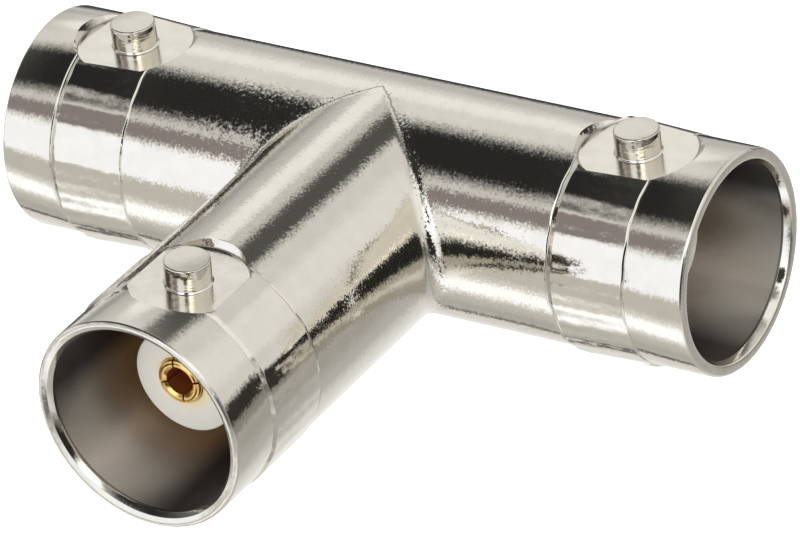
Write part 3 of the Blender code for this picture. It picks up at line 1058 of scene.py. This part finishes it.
@dataclass
class TeeBody:
    """The one-piece plated casting: run, branch, three jacks with their lugs, flats and bores.

    Attributes:
        band_slope: How long the raised band's ends are, for their rise.
        band_share: How much of its drawn rise the uneven band keeps on average.
        uneven_ahead: How far before the band its unevenness reaches, and uneven_behind after it.
        crease: The depth of the fine groove beside the band.
        foot_height: Where the lug's flared foot begins, over the flat.
        foot_reach: How far the foot flares out, and foot_sink how far it goes under the flat.
        flare: The flare over a flat's wall, as (out, up).
        cutter_top: The top of the flat's cutter, as (out, up).
        wall_margin: How far outside the flat's radius its wall counts as wall.
        steep_share: How far the wall is pulled in at its steeper end.
        beyond_mouth: How far the bore's cutter passes the mouth.
        mouth_clear: How much wider than the mouth it is there, down to mouth_step before it.
        bore_limit: How far from the axis a face may be to count as bore.
        bore_skin: How far behind the mouth the bore's finish begins.
    """

    fillet: float = 0.69
    sides: int = 256
    fillet_steps: int = 12
    barrel_start: float = 9.0
    barrel_rows: int = 10
    band_ahead: float = 1.5
    band_behind: float = 1.75
    band_slope: float = 1.7
    band_edge: float = 0.04
    band_share: float = 0.79
    uneven_ahead: float = 0.3
    uneven_behind: float = 0.5
    mouth_round: float = 0.18
    crease: float = 0.05
    crease_edge: float = 0.03
    crease_foot: float = 0.02
    lug_radius: float = 0.975
    lug_edge: float = 0.08
    lug_root: float = 0.2
    foot_height: float = 0.08
    foot_round: float = 0.06
    foot_reach: float = 0.07
    foot_sink: float = 0.01
    lug_sides: int = 96
    flat_radius: float = 2.5
    flat_sides: int = 192
    flat_round: float = 0.06
    wall_height: float = 0.4
    wall_round: float = 0.3
    flare: Span = (0.5, 0.75)
    cutter_top: Span = (1.2, 4.0)
    wall_margin: float = 0.05
    steep_share: float = 0.08
    steep_from: float = 0.82
    steep_span: float = 0.12
    chamber_radius: float = 2.2
    branch_chamber: float = 2.1
    bore_edge: float = 0.04
    beyond_mouth: float = 1.0
    mouth_clear: float = 0.1
    mouth_step: float = 0.002
    bore_limit: float = 4.27
    bore_skin: float = 0.4
    smooth_limit: float = 16

    def on_port(
        self, port: Port, radius: np.ndarray, distance: np.ndarray, angle: np.ndarray
    ) -> np.ndarray:
        """Return points of a port's skin.

        A point is (radius * cos a, -distance, radius * sin a) on the branch, and (distance,
        -radius * cos a, radius * sin a) on the run, with X the other way round on its left half.
        The angle starts level, on the side that the branch and the run share, and goes upwards.

        Args:
            port: The port.
            radius: Distances from the port's axis.
            distance: Distances along it from the crossing.
            angle: Angles round it, in radians.

        Returns:
            The points, in the shape that the three arrays have together.
        """
        radius, distance, angle = np.broadcast_arrays(radius, distance, angle)
        across, up = radius * np.cos(angle), radius * np.sin(angle)
        if port is Port.BRANCH:
            return np.stack([across, -distance, up], axis=-1)
        return np.stack([distance if port is Port.RIGHT else -distance, -across, up], axis=-1)

    def jack(self, port: Port) -> Surface:
        """Return a jack's skin: a profile carried round the axis, from the mouth's middle inwards.

        The band's ends are uneven: three sines of the angle vary their rise, and two more shift
        them.

        Args:
            port: The port.

        Returns:
            The surface.
        """
        reach, shell, jack = LAYOUT.reach(port), LAYOUT.shell_radius, JACKS[port]
        lug = reach - LAYOUT.lug_setback
        front, rear, crease = lug + self.band_ahead, lug - self.band_behind, self.crease
        line = softened([
            (0, reach, 0),
            (shell, reach, self.mouth_round),
            (shell, front + jack.front * self.band_slope + crease, self.crease_edge),
            (shell - crease, front + jack.front * self.band_slope, self.crease_foot),
            (shell + jack.front, front, self.band_edge),
            (shell + jack.rear, rear, self.band_edge),
            (shell - crease, rear - jack.rear * self.band_slope, self.crease_foot),
            (shell, rear - jack.rear * self.band_slope - crease, self.crease_edge),
            (shell, self.barrel_start, 0),
        ], steps=4)
        angle = np.arange(self.sides) * 2 * np.pi / self.sides
        radius, distance = line[:, :1], line[:, 1:]
        near = (distance > rear - self.uneven_behind) & (distance < front + self.uneven_ahead)
        rise = ripple(angle, ((5, 0.08, reach), (13, 0.06, 2), (37, 0.07, 0)), self.band_share)
        shift = ripple(angle, ((9, 0.022, reach), (23, 0.016, 1)))
        radius = np.where(near, shell + (radius - shell) * rise, radius)
        distance = distance + np.where(near, shift, 0)
        return Surface(self.on_port(port, radius, distance, angle), closed=True)

    def barrel(self, port: Port) -> Surface:
        """Return the plain tube between a jack and the seam.

        The seam runs at (shell + fillet) * |cos a| from the crossing, and the rows go evenly from
        there to the jack.

        Args:
            port: The port.

        Returns:
            The surface: the whole tube on the branch, and its near half on the run.
        """
        quarter = self.sides // 4
        whole = port is Port.BRANCH
        count = np.arange(self.sides) if whole else np.arange(-quarter, quarter + 1)
        angle = count * 2 * np.pi / self.sides
        seam = (LAYOUT.shell_radius + self.fillet) * np.abs(np.cos(angle))
        share = np.linspace(0, 1, self.barrel_rows)[:, None]
        distance = seam + (self.barrel_start - seam) * share
        return Surface(self.on_port(port, LAYOUT.shell_radius, distance, angle), whole)

    def back(self) -> Surface:
        """Return the run's far half, between its two jacks: rows that go evenly along the tube.

        Returns:
            The surface.
        """
        quarter = self.sides // 4
        angle = np.arange(quarter, 3 * quarter + 1) * 2 * np.pi / self.sides
        share = np.linspace(0, 1, self.barrel_rows)
        distance = np.concatenate([-share[:0:-1], share])[:, None] * self.barrel_start
        return Surface(self.on_port(Port.RIGHT, LAYOUT.shell_radius, distance, angle))

    def corner(self, side: int) -> Surface:
        """Return the fillet on one side of the branch.

        A ball that rolls in the corner has its hub at track * (side * cos b, -cos b, sin b), with
        track = shell + fillet. The surface is the shorter arc on the ball between its two touching
        points: sin((1 - t) * w) / sin w of the one plus sin(t * w) / sin w of the other, where w is
        the angle between them.

        Args:
            side: 1 for the right side and -1 for the left.

        Returns:
            The surface.
        """
        quarter = self.sides // 4
        angle = (np.arange(-quarter, quarter + 1) * 2 * np.pi / self.sides)[:, None]
        level, up = np.cos(angle), np.sin(angle)
        track = LAYOUT.shell_radius + self.fillet
        none = np.zeros_like(level)
        hub = track * np.stack([side * level, -level, up], axis=-1)
        start = self.fillet * np.stack([none, level, -up], axis=-1)
        end = self.fillet * np.stack([-side * level, none, -up], axis=-1)
        swing = np.maximum(np.arccos(np.clip(up**2, -1, 1)), TINY)[..., None]
        share = np.linspace(0, 1, self.fillet_steps + 1)[None, :, None]
        arc = (start * np.sin((1 - share) * swing) + end * np.sin(share * swing)) / np.sin(swing)
        return Surface(hub + arc)

    def lug_line(self) -> np.ndarray:
        """Return a lug's line with its flared foot.

        Returns:
            Points as (radius, height over the shell's axis).
        """
        radius, top, flat = self.lug_radius, LAYOUT.lug_top, LAYOUT.flat_height
        root = flat - self.lug_root
        return softened([
            (0, top, 0),
            (radius, top, self.lug_edge),
            (radius, flat + self.foot_height, self.foot_round),
            (radius + self.foot_reach, flat - self.foot_sink, 0),
            (radius, root, 0),
            (0, root, 0),
        ])

    def flat_line(self, lean: float) -> np.ndarray:
        """Return the line of the cutter for a flat.

        Args:
            lean: How far the flat's wall leans out, for its height.

        Returns:
            Points as (radius, height over the shell's axis).
        """
        radius, floor = self.flat_radius, LAYOUT.flat_height
        (flare_out, flare_up), (top_out, top_up) = self.flare, self.cutter_top
        return softened([
            (0, floor + top_up, 0),
            (radius + lean + top_out, floor + top_up, 0),
            (radius + lean + flare_out, floor + flare_up, 0),
            (radius + lean, floor + self.wall_height, self.wall_round),
            (radius, floor, self.flat_round),
            (0, floor, 0),
        ])

    def steeper(self, points: np.ndarray) -> np.ndarray:
        """Return factors that pull the wall of a run's flat in at its steeper left end.

        The factor is 1 - steep_share * m, where m falls from 1 near the end to 0 at 35 degrees from
        it: m grows with the cosine of the angle from the end, over steep_span from steep_from on.

        Args:
            points: Points of the flat's cutter.

        Returns:
            A factor for each point's distance from the cutter's axis.
        """
        radius = np.hypot(points[..., 0], points[..., 1])
        facing = -points[..., 0] / np.maximum(radius, TINY)
        share = np.clip((facing - self.steep_from) / self.steep_span, 0, 1)
        wall = radius > self.flat_radius + self.wall_margin
        return np.where(wall, 1 - self.steep_share * share, 1.0)

    def bore_line(self, port: Port, chamber: float) -> np.ndarray:
        """Return the line of the cutter for a bore, from beyond the mouth to the crossing.

        Args:
            port: The port.
            chamber: The radius of the chamber behind the insulator's seat.

        Returns:
            Points as (radius, distance from the crossing).
        """
        reach, jack, edge = LAYOUT.reach(port), JACKS[port], self.bore_edge
        seat = reach - LAYOUT.bore_depth
        back = seat - LAYOUT.seat_depth
        wide, beyond = jack.lip[0][0] + self.mouth_clear, reach + self.beyond_mouth
        return softened([
            (0, beyond, 0),
            (wide, beyond, 0),
            (wide, reach + self.mouth_step, 0),
            *((radius, reach - depth, size) for radius, depth, size in jack.lip),
            (LAYOUT.bore_radius, seat, 2 * edge),
            (LAYOUT.seat_radius, seat, edge),
            (LAYOUT.seat_radius, back, edge),
            (chamber, back, edge),
            (chamber, 0, 0),
        ], steps=4)

    def bores(self) -> list[tuple[bpy.types.Object, Use]]:
        """Return the cutters of the two bores.

        Returns:
            One from end to end of the run, and one down the branch.
        """
        near_half = self.bore_line(Port.RIGHT, self.chamber_radius)
        far_half = self.bore_line(Port.LEFT, self.chamber_radius)[::-1] * np.array([1, -1])
        cross = self.bore_line(Port.BRANCH, self.branch_chamber)
        bores = []
        for name, halves, axis in (
            ("run_bore", (near_half[:-1], far_half[1:]), "Y"),
            ("branch_bore", (cross, [(0, 0)]), "X"),
        ):
            place = Matrix.Translation(CENTRE) @ Matrix.Rotation(math.pi / 2, 4, axis)
            form = turned(np.concatenate(halves), self.sides)
            bores.append((make_piece(name, [form], place), Use.CUT))
        return bores

    def tools(self) -> list[tuple[bpy.types.Object, Use]]:
        """Return the tools that shape the body.

        Returns:
            The cutters of the flats, the lugs and the cutters of the bores, in that order.
        """
        flats, lugs = [], []
        for port in Port:
            spot = CENTRE + OUTWARD[port] * (LAYOUT.reach(port) - LAYOUT.lug_setback)
            for half in (0, math.pi):
                turn = Matrix.Rotation(LAYOUT.turn(port) + half, 4, -OUTWARD[port])
                place = Matrix.Translation(spot) @ turn
                cutter = turned(self.flat_line(JACKS[port].wall), self.flat_sides)
                if port is not Port.BRANCH:
                    cutter.points[..., :2] *= self.steeper(cutter.points)[..., None]
                lug = turned(self.lug_line(), self.lug_sides)
                flats.append((make_piece("flat_cutter", [cutter], place), Use.CUT))
                lugs.append((make_piece("lug_form", [lug], place), Use.JOIN))
        return flats + lugs + self.bores()

    def line_bores(
        self, body: bpy.types.Object, run: bpy.types.Material, branch: bpy.types.Material
    ) -> None:
        """Give the bores their own finishes.

        A face is in a bore when it lies more than bore_skin behind a mouth and nearer to the port's
        axis than bore_limit.

        Args:
            body: The finished body, which has one finish.
            run: The finish of the run's bore.
            branch: The finish of the branch's bore.
        """
        centres = np.empty(3 * len(body.data.polygons))
        body.data.polygons.foreach_get("center", centres)
        x, y, z = (centres.reshape(-1, 3) / MM - np.array(CENTRE)).T
        in_run = (np.hypot(y, z) < self.bore_limit) & (LAYOUT.run_half - np.abs(x) > self.bore_skin)
        in_branch = (np.hypot(x, z) < self.bore_limit) & (LAYOUT.branch_reach + y > self.bore_skin)
        in_branch &= y < -LAYOUT.shell_radius
        for finish in (run, branch):
            body.data.materials.append(finish)
        slots = np.where(in_branch, 2, in_run).astype(np.int32)
        body.data.polygons.foreach_set("material_index", slots)
        body.data.update()

    def build(self, effects: SharedEffects) -> bpy.types.Object:
        """Return the finished body: its skin, carved by the tools and dressed.

        Args:
            effects: The groups that its finishes share.

        Returns:
            The body.
        """
        surfaces = [self.jack(port) for port in Port] + [self.barrel(port) for port in Port]
        surfaces += [self.back(), self.corner(1), self.corner(-1)]
        body = make_piece("plated_body", surfaces, Matrix.Translation(CENTRE))
        carve(body, self.tools())
        smooth(body, self.smooth_limit)
        plate = NickelPlate("bright_nickel_plate").make(effects)
        finish_piece(body, "tee_body", plate)
        run = NickelPlate("turned_nickel_run", (1.0, 0.0, 0.0)).make(effects)
        branch = NickelPlate("turned_nickel_branch", (0.0, 1.0, 0.0)).make(effects)
        self.line_bores(body, run, branch)
        return body


@dataclass
class Insulator:
    """A port's white bead, which carries its contact.

    Attributes:
        hole_margin: How far outside the hole a point still moves aside with it.
        section_start: Where the closed section begins, behind the nose.
        seat_gap: The gap between the bead's flange and its seat.
    """

    nose_radius: float = 2.35
    nose_edge: float = 0.09
    hole_radius: float = 1.045
    hole_edge: float = 0.02
    hole_end: float = 9.1
    hole_margin: float = 0.1
    section_start: float = 3.0
    seat_gap: float = 0.3
    seat_edge: float = 0.05
    tail_radius: float = 1.8
    tail_hole: float = 0.9
    end: float = 13.0
    sides: int = 128
    smooth_limit: float = 20

    def build(self, port: Port, material: bpy.types.Material) -> bpy.types.Object:
        """Return the bead: a closed section turned about the port's axis, its hole moved aside.

        Args:
            port: Its port.
            material: Its material.

        Returns:
            The bead.
        """
        seat, jack = LAYOUT.bore_depth, JACKS[port]
        back, flange = seat + LAYOUT.seat_depth - self.seat_gap, LAYOUT.seat_radius - self.seat_gap
        inside = (self.hole_radius, -jack.nose - self.section_start, 0)
        line = softened([
            inside,
            (self.hole_radius, -jack.nose, self.hole_edge),
            (self.nose_radius, -jack.nose, self.nose_edge),
            (self.nose_radius, -seat, 0),
            (flange, -seat, self.seat_edge),
            (flange, -back, self.seat_edge),
            (self.tail_radius, -back, 0),
            (self.tail_radius, -self.end, self.seat_edge),
            (self.tail_hole, -self.end, 0),
            (self.tail_hole, -self.hole_end, 0),
            (self.hole_radius, -self.hole_end, 0),
            inside,
        ], steps=5)
        skin = turned(line, self.sides)
        inner = np.hypot(skin.points[..., 0], skin.points[..., 1])
        inner = inner < self.hole_radius + self.hole_margin
        skin.points[..., :2] += inner[..., None] * np.array(jack.off)
        bead = make_piece(f"{port.value}_bead", [skin], port_frame(port, 0))
        smooth(bead, self.smooth_limit)
        finish_piece(bead, f"{port.value}_insulator", material)
        return bead


@dataclass
class Contact:
    """A port's slotted gold contact.

    Attributes:
        ahead: How far its tip stands ahead of the bead's nose.
        mouth: The hole's mouth, as (out from the hole, down from the tip, rounding).
        crown: The tip's outside, as (in from the barrel, down from the tip, rounding).
        slot_ahead: How far the slots' cutters pass the tip.
    """

    radius: float = 1.03
    hole: float = 0.61
    hole_depth: float = 4.6
    ahead: float = 0.25
    length: float = 5.3
    barrel_edge: float = 0.05
    tail_radius: float = 0.6
    tail_edge: float = 0.1
    mouth: tuple[Triple, ...] = ((0.0, 0.10, 0.04), (0.14, 0.0, 0.03))
    crown: tuple[Triple, ...] = (
        (0.20, 0.0, 0.03), (0.14, 0.05, 0.02), (0.06, 0.06, 0.03), (0.0, 0.16, 0.04)
    )
    slot_width: float = 0.09
    slot_reach: float = 2.4
    slot_length: float = 3.4
    slot_ahead: float = 1.0
    slot_turn: float = math.radians(10)
    sides: int = 96
    smooth_limit: float = 20

    def line(self, tip: float, tail: float) -> np.ndarray:
        """Return the contact's line: its hole, a grooved tip, its barrel and its tail.

        Args:
            tip: The height of its tip.
            tail: The height of its tail's end.

        Returns:
            Points as (radius, height).
        """
        radius, hole = self.radius, self.hole
        return softened([
            (0, tip - self.hole_depth - hole / 2, 0),
            (hole, tip - self.hole_depth, 0),
            *((hole + out, tip - down, size) for out, down, size in self.mouth),
            *((radius - inwards, tip - down, size) for inwards, down, size in self.crown),
            (radius, tip - self.length, self.barrel_edge),
            (self.tail_radius, tip - self.length, 0),
            (self.tail_radius, tail, self.tail_edge),
            (0, tail, 0),
        ], steps=4)

    def slot(self, tip: float, wide: float, thick: float) -> Surface:
        """Return the cutter of a slot: a box whose rings shrink to points at its ends.

        Args:
            tip: The height of the contact's tip.
            wide: Its size across X.
            thick: Its size across Y.

        Returns:
            The surface.
        """
        long = self.slot_length + self.slot_ahead
        ring = np.array([(-1, -1), (1, -1), (1, 1), (-1, 1)]) * (wide / 2, thick / 2)
        low = np.full((4, 1), tip - self.slot_length)
        high = np.full((4, 1), tip - self.slot_length + long)
        rows = ((ring * 0, low), (ring, low), (ring, high), (ring * 0, high))
        return Surface(np.array([np.hstack(row) for row in rows]), closed=True)

    def build(self, port: Port, material: bpy.types.Material) -> bpy.types.Object:
        """Return the contact, turned about the port's axis and cut by two crossed slots.

        Args:
            port: Its port.
            material: Its material.

        Returns:
            The contact.
        """
        tip = self.ahead - JACKS[port].nose
        place = port_frame(port, self.slot_turn)
        place.translation += port_frame(port, 0).to_3x3() @ Vector((*JACKS[port].off, 0))
        skin = turned(self.line(tip, JACKS[port].tail - LAYOUT.reach(port)), self.sides)
        contact = make_piece(f"{port.value}_pin_socket", [skin], place)
        sizes = (self.slot_width, self.slot_reach), (self.slot_reach, self.slot_width)
        boxes = [self.slot(tip, wide, thick) for wide, thick in sizes]
        carve(contact, [(make_piece("slot_cutter", [box], place), Use.CUT) for box in boxes])
        smooth(contact, self.smooth_limit)
        finish_piece(contact, f"{port.value}_contact", material)
        return contact


@dataclass(frozen=True)
class Card:
    """A soft-edged card or lamp of the light tent, seen along one cone of directions.

    Attributes:
        centre: The middle of the card, in degrees round the cone's axis.
        width: Its width in degrees.
        soft: How wide its soft edge is, in degrees.
        colour: Its light.
    """

    centre: float
    width: float
    soft: float
    colour: Colour


@dataclass(frozen=True)
class Flag:
    """A round card of the light tent.

    Attributes:
        azimuth: Its direction in degrees, counted from +X towards +Y.
        height: Its height in degrees over the horizon.
        radius: Its radius in degrees.
        soft: How wide its soft edge is, in degrees.
        colour: Its light.
    """

    azimuth: float
    height: float
    radius: float
    soft: float
    colour: Colour

    def direction(self) -> Triple:
        """Return the direction of the flag's middle."""
        turn, rise = math.radians(self.azimuth), math.radians(self.height)
        return math.cos(turn) * math.cos(rise), math.sin(turn) * math.cos(rise), math.sin(rise)

    def span(self) -> Span:
        """Return the angles at which its soft edge begins and ends."""
        return self.radius - self.soft / 2, self.radius + self.soft / 2


def grey(tone: float, warm: float = 0.0) -> Colour:
    """Return a light of one tone, turned warmer by taking green and blue from it."""
    return (tone, tone * (1 - 0.4 * warm), tone * (1 - warm))


@dataclass(frozen=True)
class LightTent:
    """A soft tent of cards for the metal.

    Attributes:
        run_base: The light between the cards that the run reflects.
        run_cards: Those cards, each over those before it.
        run_cone: The X part of the directions that the run reflects to the photograph's camera.
        branch_base: The light between the cards that the branch reflects.
        branch_cards: Those cards.
        branch_cone: The Y part of the directions that the branch reflects to that camera.
        flags: Cards that both may reflect, over all the others.
        least: Keeps the sum that the two cones' shares are taken of above zero.
    """

    run_base: Colour = grey(0.90)
    run_cards: tuple[Card, ...] = (
        Card(80.7, 53.6, 21, grey(0.027)),
        Card(180, 34, 20, grey(0.62)),
        Card(203, 28, 14, grey(0.05)),
        Card(36.0, 17, 8, (0.31, 0.275, 0.285)),
        Card(4, 39, 8, (1.26, 1.30, 1.42)),
        Card(-28, 26, 8, grey(0.68, 0.06)),
        Card(-42, 9, 8, grey(0.88, 0.04)),
        Card(-53, 17, 8, (1.4, 1.45, 1.55)),
        Card(-73, 12, 8, grey(0.68, 0.05)),
        Card(-87, 20, 12, grey(0.54, 0.04)),
        Card(-107, 24, 16, grey(0.84, 0.04)),
        Card(-97, 6, 5, grey(0.16)),
    )
    run_cone: float = -0.498
    branch_base: Colour = grey(0.97)
    branch_cards: tuple[Card, ...] = (
        Card(138, 50, 14, grey(0.68)),
        Card(93.5, 31, 16, grey(0.105, 0.03)),
        Card(66, 24, 18, grey(0.82)),
        Card(13, 16, 14, grey(0.84)),
        Card(-80, 34, 30, grey(0.84)),
        Card(-58, 34, 24, grey(0.57)),
        Card(-38, 26, 18, grey(0.47, 0.05)),
        Card(-22, 12, 8, grey(0.34, 0.08)),
        Card(-7, 21, 9, grey(0.04, 0.15)),
        Card(172, 22, 20, grey(0.42)),
        Card(207, 28, 14, grey(0.12)),
    )
    branch_cone: float = 0.695
    flags: tuple[Flag, ...] = (
        Flag(125.6, 31.2, 8, 8, grey(1.08)),
        Flag(-84, 30, 20, 12, (1.40, 1.46, 1.60)),
        Flag(-14, 42, 26, 10, grey(1.1)),
        Flag(-54, 33, 15, 12, grey(2.6)),
        Flag(-42, 5, 21, 12, grey(0.03)),
        Flag(-59, -7, 12, 10, grey(0.03)),
        Flag(-24, 67, 13, 8, grey(1.15)),
        Flag(-81, -31, 8, 5, grey(0.05)),
        Flag(-66.5, 37, 9, 4, grey(0.05)),
    )
    least: float = 0.0001

    def card_group(self) -> bpy.types.NodeTree:
        """Return the group that says how far a direction is on a card.

        The mask fades as the angle from the card's middle passes (width - soft) / 2 to
        (width + soft) / 2, and the angle goes round the circle the shorter way.

        Returns:
            The group.
        """
        inputs = dict.fromkeys(("Angle", "Centre", "Width", "Soft"), "Float")
        tree, given, out = new_group("tent_card", inputs, {"Mask": "Float"})
        off = tree.maths("WRAP", tree.minus(given["Angle"], given["Centre"]), 180.0, -180.0)
        half, edge = tree.times(given["Width"], 0.5), tree.times(given["Soft"], 0.5)
        span = tree.minus(half, edge), tree.plus(half, edge)
        tree.feed(out, {"Mask": tree.fade(tree.maths("ABSOLUTE", off), span)})
        return tree.tree

    def cone(
        self,
        tree: Tree,
        group: bpy.types.NodeTree,
        angle: Socket,
        base: Colour,
        cards: tuple[Card, ...],
    ) -> Socket:
        """Return the light along one cone of directions, card over card.

        Args:
            tree: The world's tree.
            group: The cards' group.
            angle: The angle round the cone's axis, in degrees.
            base: The light between the cards.
            cards: The cards.

        Returns:
            The light.
        """
        light = base
        for card in cards:
            values = {"Angle": angle, "Centre": card.centre, "Width": card.width, "Soft": card.soft}
            light = tree.blend(tree.group(group, values)["Mask"], light, card.colour)
        return light

    def light(self, tree: Tree, way: Socket) -> Socket:
        """Return the light that comes from a direction.

        The two cones' lights are mixed by the squares of the direction's distances from them, so
        that the nearer cone counts most.

        Args:
            tree: The world's tree.
            way: The direction.

        Returns:
            The light.
        """
        x, y, z = tree.add("SeparateXYZ", {0: way}).outputs
        degrees, group = 180 / math.pi, self.card_group()
        about_x = tree.times(tree.maths("ARCTAN2", z, tree.times(y, -1.0)), degrees)
        about_y = tree.times(tree.maths("ARCTAN2", z, x), degrees)
        run = self.cone(tree, group, about_x, self.run_base, self.run_cards)
        branch = self.cone(tree, group, about_y, self.branch_base, self.branch_cards)
        off_run = tree.maths("POWER", tree.off(x, self.run_cone), 2.0)
        off_branch = tree.maths("POWER", tree.off(y, self.branch_cone), 2.0)
        total = tree.plus(tree.plus(off_run, off_branch), self.least)
        light = tree.blend(tree.maths("DIVIDE", off_run, total), run, branch)
        for flag in self.flags:
            close = tree.measure("DOT_PRODUCT", way, flag.direction())
            off = tree.times(tree.maths("ARCCOSINE", close), degrees)
            light = tree.blend(tree.fade(off, flag.span()), light, flag.colour)
        return light

    def build(self) -> None:
        """Make the world, in which the camera itself sees plain white."""
        world = bpy.data.worlds.new("light_tent")
        bpy.context.scene.world = world
        world.use_nodes = True
        tree = Tree(world.node_tree)
        light = self.light(tree, tree.add("TexCoord").outputs["Generated"])
        seen = tree.add("LightPath").outputs["Is Camera Ray"]
        sky = {"Color": tree.blend(seen, light, grey(1.0)), "Strength": 1.0}
        tree.add("OutputWorld", {"Surface": tree.add("Background", sky).outputs[0]})


@dataclass(frozen=True)
class PaleFloor:
    """The pale floor, which the metal's reflections pass through to the tent.

    Attributes:
        half: Half of its side, in metres.
        cloud: The scale and detail of its faint clouds.
    """

    half: float = 3.0
    rough: float = 0.9
    cloud: Span = (0.02, 2.0)
    pale: Colour = (0.93, 0.93, 0.93)
    paler: Colour = (0.95, 0.95, 0.95)
    glow: float = 0.8

    def build(self) -> None:
        """Make the floor: one square at the part's foot."""
        near, far = -self.half, self.half
        corners = [(near, near, 0), (far, near, 0), (far, far, 0), (near, far, 0)]
        mesh = bpy.data.meshes.new("pale_floor")
        mesh.from_pydata(corners, [], [(0, 1, 2, 3)])
        floor = add_object("pale_floor", mesh)
        material, tree, shader, place = new_material("pale_floor")
        tree.feed(shader, {
            "Base Color": tree.blend(tree.noise(place, *self.cloud), self.pale, self.paler),
            "Roughness": self.rough,
            "Emission Color": grey(1.0),
            "Emission Strength": self.glow,
        })
        mesh.materials.append(material)
        floor.visible_glossy = False


@dataclass(frozen=True)
class Softbox:
    """A soft lamp that shines on the crossing, left out of reflections.

    Attributes:
        spot: Where it is, in millimetres from the crossing.
        size: Its side in millimetres.
        power: Its power in watts.
    """

    spot: Triple = (-120, -260, 160)
    size: float = 160
    power: float = 0.25

    def build(self) -> None:
        """Make the lamp, turned to face the crossing."""
        lamp = bpy.data.lights.new("front_softbox", "AREA")
        lamp.shape, lamp.size, lamp.energy = "SQUARE", self.size * MM, self.power
        item = add_object("front_softbox", lamp)
        spot = Vector(self.spot)
        item.location = (CENTRE + spot) * MM
        item.rotation_mode = "QUATERNION"
        item.rotation_quaternion = (-spot).to_track_quat("-Z", "Y")
        item.visible_glossy = False


@dataclass(frozen=True)
class PhotoCamera:
    """The photograph's camera, fitted to the object's outlines.

    Attributes:
        spot: Its place in millimetres from the crossing of the axes.
        ahead: The direction it looks in.
        right: The direction of the picture's right side.
        focal_pixels: Its focal length in pixels of a picture as wide as the photograph.
        clip: How near and how far it sees, in metres.
    """

    spot: Triple = (152.653, -213.275, 154.747)
    ahead: Triple = (-0.49849, 0.69535, -0.51768)
    right: Triple = (0.84544, 0.52198, -0.11298)
    focal_pixels: float = 7230.73
    sensor: float = 36.0
    clip: Span = (0.01, 20.0)

    def build(self) -> bpy.types.Object:
        """Return the camera, and make it the scene's.

        Returns:
            The camera.
        """
        data = bpy.data.cameras.new("photo_camera")
        data.sensor_fit, data.sensor_width = "HORIZONTAL", self.sensor
        data.lens = self.focal_pixels * self.sensor / PHOTO_WIDTH
        data.clip_start, data.clip_end = self.clip
        camera = add_object("photo_camera", data)
        ahead = Vector(self.ahead).normalized()
        right = (Vector(self.right) - ahead * ahead.dot(Vector(self.right))).normalized()
        up = right.cross(ahead)
        camera.rotation_mode = "QUATERNION"
        camera.rotation_quaternion = Matrix((right, up, -ahead)).transposed().to_quaternion()
        camera.location = (CENTRE + Vector(self.spot)) * MM
        bpy.context.scene.camera = camera
        return camera


def dress_junction_rod(material: bpy.types.Material) -> None:
    """Give the CAD junction rod, which stays, its turned brass.

    Args:
        material: The brass.
    """
    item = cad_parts["junction_rod"]
    dress(item, material)
    log.info("%s: kept from the CAD", item.name)


def main() -> None:
    """Build the tee, its studio and its camera."""
    logging.basicConfig(level=logging.INFO, format="%(name)s: %(message)s")
    bpy.context.scene.view_settings.view_transform = "Standard"
    effects = SharedEffects()
    TeeBody().build(effects)
    white, gold = SatinWhite().make(effects), GOLD.make(effects)
    for port in Port:
        Insulator().build(port, white)
        Contact().build(port, gold)
    dress_junction_rod(BRASS.make(effects))
    for part_of_studio in (LightTent(), PaleFloor(), Softbox(), PhotoCamera()):
        part_of_studio.build()


if __name__ == "__main__":
    main()
